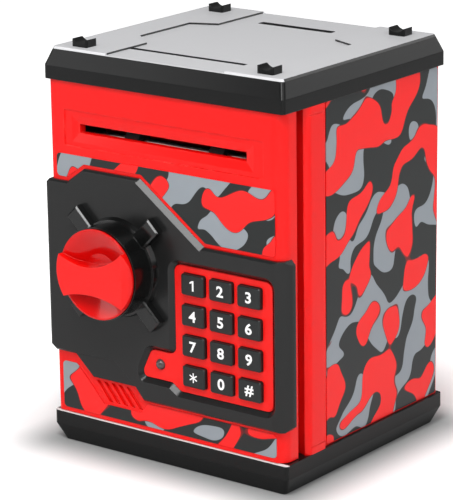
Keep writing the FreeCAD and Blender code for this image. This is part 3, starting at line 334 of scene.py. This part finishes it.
def printed_sheet():
    material, tree, shader = start_material("camouflage_print")
    skin_on(tree, shader, Edge=0.1 * MM, Grain_Size=1.2 * MM, Grain_Depth=0.03,
            Roughness=0.3, Unevenness=0.1)
    print_colours = place_group(tree, CAMOUFLAGE, Blob_Size=0.0165, Dark_Cover=0.535, Bright_Cover=0.445,
                                Ground=(0.24, 0.265, 0.29, 1), Dark=(0.013, 0.015, 0.015, 1),
                                Bright=(0.82, 0.008, 0.007, 1), Outline=(0.16, 0.006, 0.006, 1))
    feed_all(tree, shader, Base_Color=print_colours["Color"], Specular_IOR_Level=0.25)
    return material


def circuit_board():
    """Green board with a net of slightly raised tracks."""
    material, tree, shader = start_material("circuit_board")
    cells = feed_all(tree, add(tree, "ShaderNodeTexVoronoi", feature="DISTANCE_TO_EDGE"),
                     Vector=object_place(tree), Scale=TRACKS_PER_METRE)
    track = maths(tree, "LESS_THAN", cells.outputs["Distance"], TRACK_WIDTH)
    bump = feed_all(tree, add(tree, "ShaderNodeBump"), Distance=TRACK_HEIGHT, Height=track)
    feed_all(tree, shader, Normal=bump.outputs["Normal"], Roughness=0.35,
             Base_Color=blend_colours(tree, track, (0.008, 0.10, 0.035, 1), (0.02, 0.22, 0.07, 1)))
    return material


def clear_lens():
    material, tree, shader = start_material("clear_lens")
    haze = noise(tree, object_place(tree), HAZE_PER_METRE, detail=2.0)
    feed_all(tree, shader, Base_Color=(0.10, 0.075, 0.075, 1), Transmission_Weight=0.35, IOR=1.5,
             Roughness=maths(tree, "MULTIPLY_ADD", haze, 0.1, 0.02))
    return material


def cell_sleeve():
    """Printed sleeve: a pale band round the middle of the cells and blue towards their ends."""
    material, tree, shader = start_material("cell_can")
    along = maths(tree, "ABSOLUTE", split(tree, object_place(tree))["X"])
    ends = maths(tree, "GREATER_THAN", along, CELL_BAND_REACH)
    skin_on(tree, shader, Edge=0.2 * MM, Grain_Size=0.8 * MM, Grain_Depth=0.02,
            Roughness=0.25, Unevenness=0.1)
    feed_all(tree, shader, Metallic=0.4,
             Base_Color=blend_colours(tree, ends, (0.7, 0.7, 0.72, 1), (0.02, 0.07, 0.30, 1)))
    return material


MOULDINGS = {
    "red_plastic": dict(colour=RED, pale_edge_colour=PALE_RED_WEAR_AND_HIGHLIGHT, roughness=0.22, edge=0.45, coat=0.06, specular=0.18),
    "keypad_red": dict(colour=(0.80, 0.008, 0.006, 1), pale_edge_colour=PALE_RED_WEAR_AND_HIGHLIGHT, roughness=0.38, edge=0.35, grain=0.25,
                       depth=0.15, specular=0.2),
    "charcoal_plastic": dict(colour=(0.011, 0.0112, 0.0112, 1), pale_edge_colour=(0.05, 0.05, 0.05, 1), roughness=0.24,
                             edge=0.3, grain=0.25, depth=0.12, specular=0.26),
    "black_gloss": dict(colour=(0.004, 0.0042, 0.0042, 1), pale_edge_colour=(0.02, 0.02, 0.02, 1), roughness=0.12,
                        edge=0.4, coat=0.2, specular=0.3),
    "key_black": dict(colour=(0.009, 0.0105, 0.0105, 1), pale_edge_colour=(0.035, 0.035, 0.035, 1), roughness=0.34,
                      edge=0.5, grain=0.2, depth=0.2, specular=0.3),
    "key_figures": dict(colour=(0.85, 0.85, 0.85, 1), pale_edge_colour=(0.9, 0.9, 0.9, 1), roughness=0.4, edge=0.05),
    "grey_rubber": dict(colour=(0.045, 0.045, 0.047, 1), pale_edge_colour=(0.09, 0.09, 0.09, 1), roughness=0.7,
                        edge=0.3, grain=0.3, depth=0.4, specular=0.3),
    "white_nylon": dict(colour=(0.75, 0.73, 0.68, 1), pale_edge_colour=(0.85, 0.84, 0.8, 1), roughness=0.45, edge=0.1),
    "speaker_body": dict(colour=(0.012, 0.012, 0.013, 1), pale_edge_colour=(0.06, 0.06, 0.06, 1), roughness=0.5,
                         edge=0.3, depth=0.3),
}
METALS = {
    "steel_screw": dict(colour=(0.55, 0.55, 0.54, 1), roughness=0.3, grain=0.3, depth=0.1),
    "sheet_metal": dict(colour=(0.58, 0.58, 0.59, 1), roughness=0.4, grain=0.25, depth=0.2),
    "nickel_spring": dict(colour=(0.66, 0.64, 0.60, 1), roughness=0.18, grain=0.2, depth=0.05),
    "motor_can": dict(colour=(0.50, 0.51, 0.52, 1), roughness=0.35, grain=0.4, depth=0.1, edge=0.4),
}
FINISHES = {name: moulded(name, **look) for name, look in MOULDINGS.items()}
FINISHES.update({name: metal(name, **look) for name, look in METALS.items()})
FINISHES.update({
    "knob_red": knob_with_painted_scoop_shade(),
    "black_plastic": rim_plastic_with_painted_sill_highlight(),
    "grey_lid_plastic": lid_plate_with_painted_shade(),
    "camouflage_print": printed_sheet(),
    "circuit_board": circuit_board(),
    "clear_lens": clear_lens(),
    "cell_can": cell_sleeve(),
})


def finish_frame():
    """Give every node of the frame the finish that the record names for it."""
    for part in frame["record"]["subparts"]:
        mesh = nodes[part["node"]].data
        mesh.materials.clear()
        mesh.materials.append(FINISHES[part["material_slot"]])


# ---------------------------------------------------------------- added pieces
FIGURE_HEIGHT = 0.0069
FIGURE_WIDTH = 1.12               # lettered figures are drawn this much wider than the font has them
FIGURE_SWELL = 0.024              # stroke widening, as a share of the height
PRINT_THICKNESS = 0.00004
STAR_REACH = 2.3
STAR_ARM = 0.3
STAND_UP = Matrix.Rotation(math.radians(90), 4, "X")
KEY_FIGURES = {digit: digit for digit in "123456789"} | {"star": "*", "0": "0", "hash": "#"}


def place_object(name, data):
    """A new object in the scene that holds the data."""
    item = bpy.data.objects.new(name, data)
    scene.collection.objects.link(item)
    return item


def mesh_from(shape, name):
    mesh = bpy.data.meshes.new(name)
    shape.to_mesh(mesh)
    shape.free()
    return mesh


def letter_figure(figure):
    """Flat letter outline as a thin mesh in the XY plane, centred on its own box."""
    curve = bpy.data.curves.new("figure", "FONT")
    curve.body = figure
    curve.size = FIGURE_HEIGHT
    curve.offset = FIGURE_HEIGHT * FIGURE_SWELL
    curve.extrude = PRINT_THICKNESS
    curve.resolution_u = 6
    holder = place_object("figure", curve)
    bpy.context.view_layer.update()
    mesh = bpy.data.meshes.new_from_object(holder.evaluated_get(bpy.context.evaluated_depsgraph_get()))
    bpy.data.objects.remove(holder)
    low = [min(v.co[axis] for v in mesh.vertices) for axis in range(2)]
    high = [max(v.co[axis] for v in mesh.vertices) for axis in range(2)]
    mesh.transform(Matrix.Translation((-(low[0] + high[0]) / 2, -(low[1] + high[1]) / 2, 0)))
    mesh.transform(Matrix.Scale(FIGURE_WIDTH, 4, (1, 0, 0)))
    return mesh


def cut_figure(outline):
    """A figure cut from one flat outline, in millimetres, and given the print's thickness."""
    shape = bmesh.new()
    face = shape.faces.new([shape.verts.new((x * MM, y * MM, 0)) for x, y in outline])
    raised = bmesh.ops.extrude_face_region(shape, geom=[face])["geom"]
    top = [item for item in raised if isinstance(item, bmesh.types.BMVert)]
    bmesh.ops.translate(shape, verts=top, vec=(0, 0, PRINT_THICKNESS))
    bmesh.ops.recalc_face_normals(shape, faces=shape.faces[:])
    return mesh_from(shape, "figure")


def star_outline(reach, half_width):
    """Outline of an asterisk with six arms."""
    points = []
    for arm in range(6):
        angle = math.radians(90 + 60 * arm)
        along = Vector((math.cos(angle), math.sin(angle)))
        across = Vector((-along.y, along.x)) * half_width
        between = angle + math.radians(30)
        points += [along * reach - across, along * reach + across]
        points.append(Vector((math.cos(between), math.sin(between))) * half_width * 2)
    return points


FLAGGED_ONE = ((0.15, -2.4), (1.05, -2.4), (1.05, 2.4), (0.25, 2.4),
               (-1.15, 1.65), (-1.15, 0.85), (0.15, 1.4))
OWN_OUTLINES = {"1": FLAGGED_ONE, "*": star_outline(STAR_REACH, STAR_ARM)}


def key_figures():
    """A printed figure on the front of every key, riding on it."""
    for name, figure in KEY_FIGURES.items():
        low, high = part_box("key_" + name)
        outline = OWN_OUTLINES.get(figure)
        mesh = cut_figure(outline) if outline else letter_figure(figure)
        mesh.transform(STAND_UP)
        mesh.transform(Matrix.Translation(((low.x + high.x) / 2, low.y, (low.z + high.z) / 2)))
        mesh.materials.append(FINISHES["key_figures"])
        piece = place_object("figure_" + name, mesh)
        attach(piece, "keycap_" + name)


# ---------------------------------------------------------------- stage, light and camera
FLOOR_SIZE = 3.0
FLOOR_DROP = 0.0002               # keeps the floor clear of the base's underside
SHADE_START = (0.064, 0.059, 1.0) # half sizes of the box, under the bank, that the painted shadow and the glow start from
FLOOR_SHADOW_TONE = (0.30, 0.92)         # floor colour at that box, darkened as painted shadow, and clear of it
SHADE_REACH = 0.032
FLOOR_LIFT = (0.0, 0.66)          # extra glow at that box and far away; none at the box, so the painted shadow shows
LIFT_REACH = 0.11
WORLD_LIGHT = 0.25
MIDDLE = Vector((0, 0, 0.095))    # where every light looks
LIGHTS = {                        # direction, distance, size and energy
    "key_light": ((0.18, -0.56, 0.80), 1.3, (0.6, 0.5), 15.0),
    "right_light": ((1.0, -0.35, 0.55), 1.5, (0.9, 0.9), 8.0),
    "left_light": ((-0.9, -0.8, 0.25), 1.5, (0.5, 1.0), 4.5),
    "back_light": ((0.65, 1.0, 0.5), 1.6, (0.8, 0.8), 4.0),
    "corner_strip": ((0.60, -0.72, 0.42), 1.35, (0.07, 0.5), 0.9),
}
VIEW_CENTRE = Vector((0, 0, 0.0942))
VIEW_AZIMUTH = 37.63
VIEW_ELEVATION = 15.95
VIEW_ROLL = -0.8
VIEW_DISTANCE = 1.2385
VIEW_LENS = 191.5
VIEW_ASIDE = -0.00987
VIEW_LIFT = -0.00527


def floor():
    """A pale floor with a painted shadow next to the base: painted darker there, and glowing less there."""
    shape = bmesh.new()
    bmesh.ops.create_grid(shape, x_segments=1, y_segments=1, size=FLOOR_SIZE)
    mesh = mesh_from(shape, "floor")
    plane = place_object("floor", mesh)
    plane.location.z = -FLOOR_DROP
    material, tree, shader = start_material("floor")
    where = object_place(tree)
    outside = vector_maths(tree, "SUBTRACT", vector_maths(tree, "ABSOLUTE", where), SHADE_START)
    away = vector_maths(tree, "LENGTH", vector_maths(tree, "MAXIMUM", outside, (0, 0, 0)), output="Value")
    shadow_tone = fade(tree, away, SHADE_REACH, FLOOR_SHADOW_TONE)
    # fine grain laid over the painted shadow's tone
    grain = maths(tree, "MULTIPLY_ADD", noise(tree, where, 2.0, detail=1.0), 0.03, shadow_tone)
    grey = feed_all(tree, add(tree, "ShaderNodeCombineColor"), Red=grain, Green=grain, Blue=grain)
    seen = add(tree, "ShaderNodeLightPath").outputs["Is Camera Ray"]
    glow = maths(tree, "MULTIPLY", seen, fade(tree, away, LIFT_REACH, FLOOR_LIFT))
    feed_all(tree, shader, Base_Color=grey.outputs[0], Roughness=0.6, Emission_Color=WHITE,
             Emission_Strength=glow)
    mesh.materials.append(material)


def studio_light(name, direction, distance, size, energy):
    """A soft oblong light that looks at the middle of the bank from the given direction."""
    lamp = bpy.data.lights.new(name, "AREA")
    lamp.shape = "RECTANGLE"
    lamp.size, lamp.size_y = size
    lamp.energy = energy
    holder = place_object(name, lamp)
    toward = Vector(direction).normalized()
    holder.location = MIDDLE + toward * distance
    holder.rotation_euler = toward.to_track_quat("Z", "Y").to_euler()


def daylight():
    """Dim white light from all round, behind a background that the camera sees as plain white."""
    world = bpy.data.worlds.new("studio")
    world.use_nodes = True
    tree = world.node_tree
    tree.nodes.clear()
    mix = add(tree, "ShaderNodeMixShader")
    feed(tree, mix.inputs[0], add(tree, "ShaderNodeLightPath").outputs["Is Camera Ray"])
    for slot, strength in ((1, WORLD_LIGHT), (2, 1.0)):
        glow = feed_all(tree, add(tree, "ShaderNodeBackground"), Color=WHITE, Strength=strength)
        feed(tree, mix.inputs[slot], glow.outputs[0])
    feed_all(tree, add(tree, "ShaderNodeOutputWorld"), Surface=mix.outputs[0])
    scene.world = world


def camera():
    azimuth, elevation, roll = (math.radians(a) for a in (VIEW_AZIMUTH, VIEW_ELEVATION, VIEW_ROLL))
    back = Vector((math.sin(azimuth) * math.cos(elevation), -math.cos(azimuth) * math.cos(elevation),
                   math.sin(elevation)))
    right = Vector((math.cos(azimuth), math.sin(azimuth), 0))
    up = back.cross(right)
    rolled_right = right * math.cos(roll) + up * math.sin(roll)
    rolled_up = up * math.cos(roll) - right * math.sin(roll)
    data = bpy.data.cameras.new("camera")
    data.lens = VIEW_LENS
    data.sensor_width = 36
    data.clip_end = 20
    eye = place_object("camera", data)
    turn = Matrix((rolled_right, rolled_up, back)).transposed().to_4x4()
    place = VIEW_CENTRE + back * VIEW_DISTANCE + rolled_right * VIEW_ASIDE + rolled_up * VIEW_LIFT
    eye.matrix_world = Matrix.Translation(place) @ turn
    scene.camera = eye


finish_frame()
key_figures()
floor()
daylight()
for light_name, light in LIGHTS.items():
    studio_light(light_name, *light)
camera()
scene.view_settings.view_transform = "Standard"
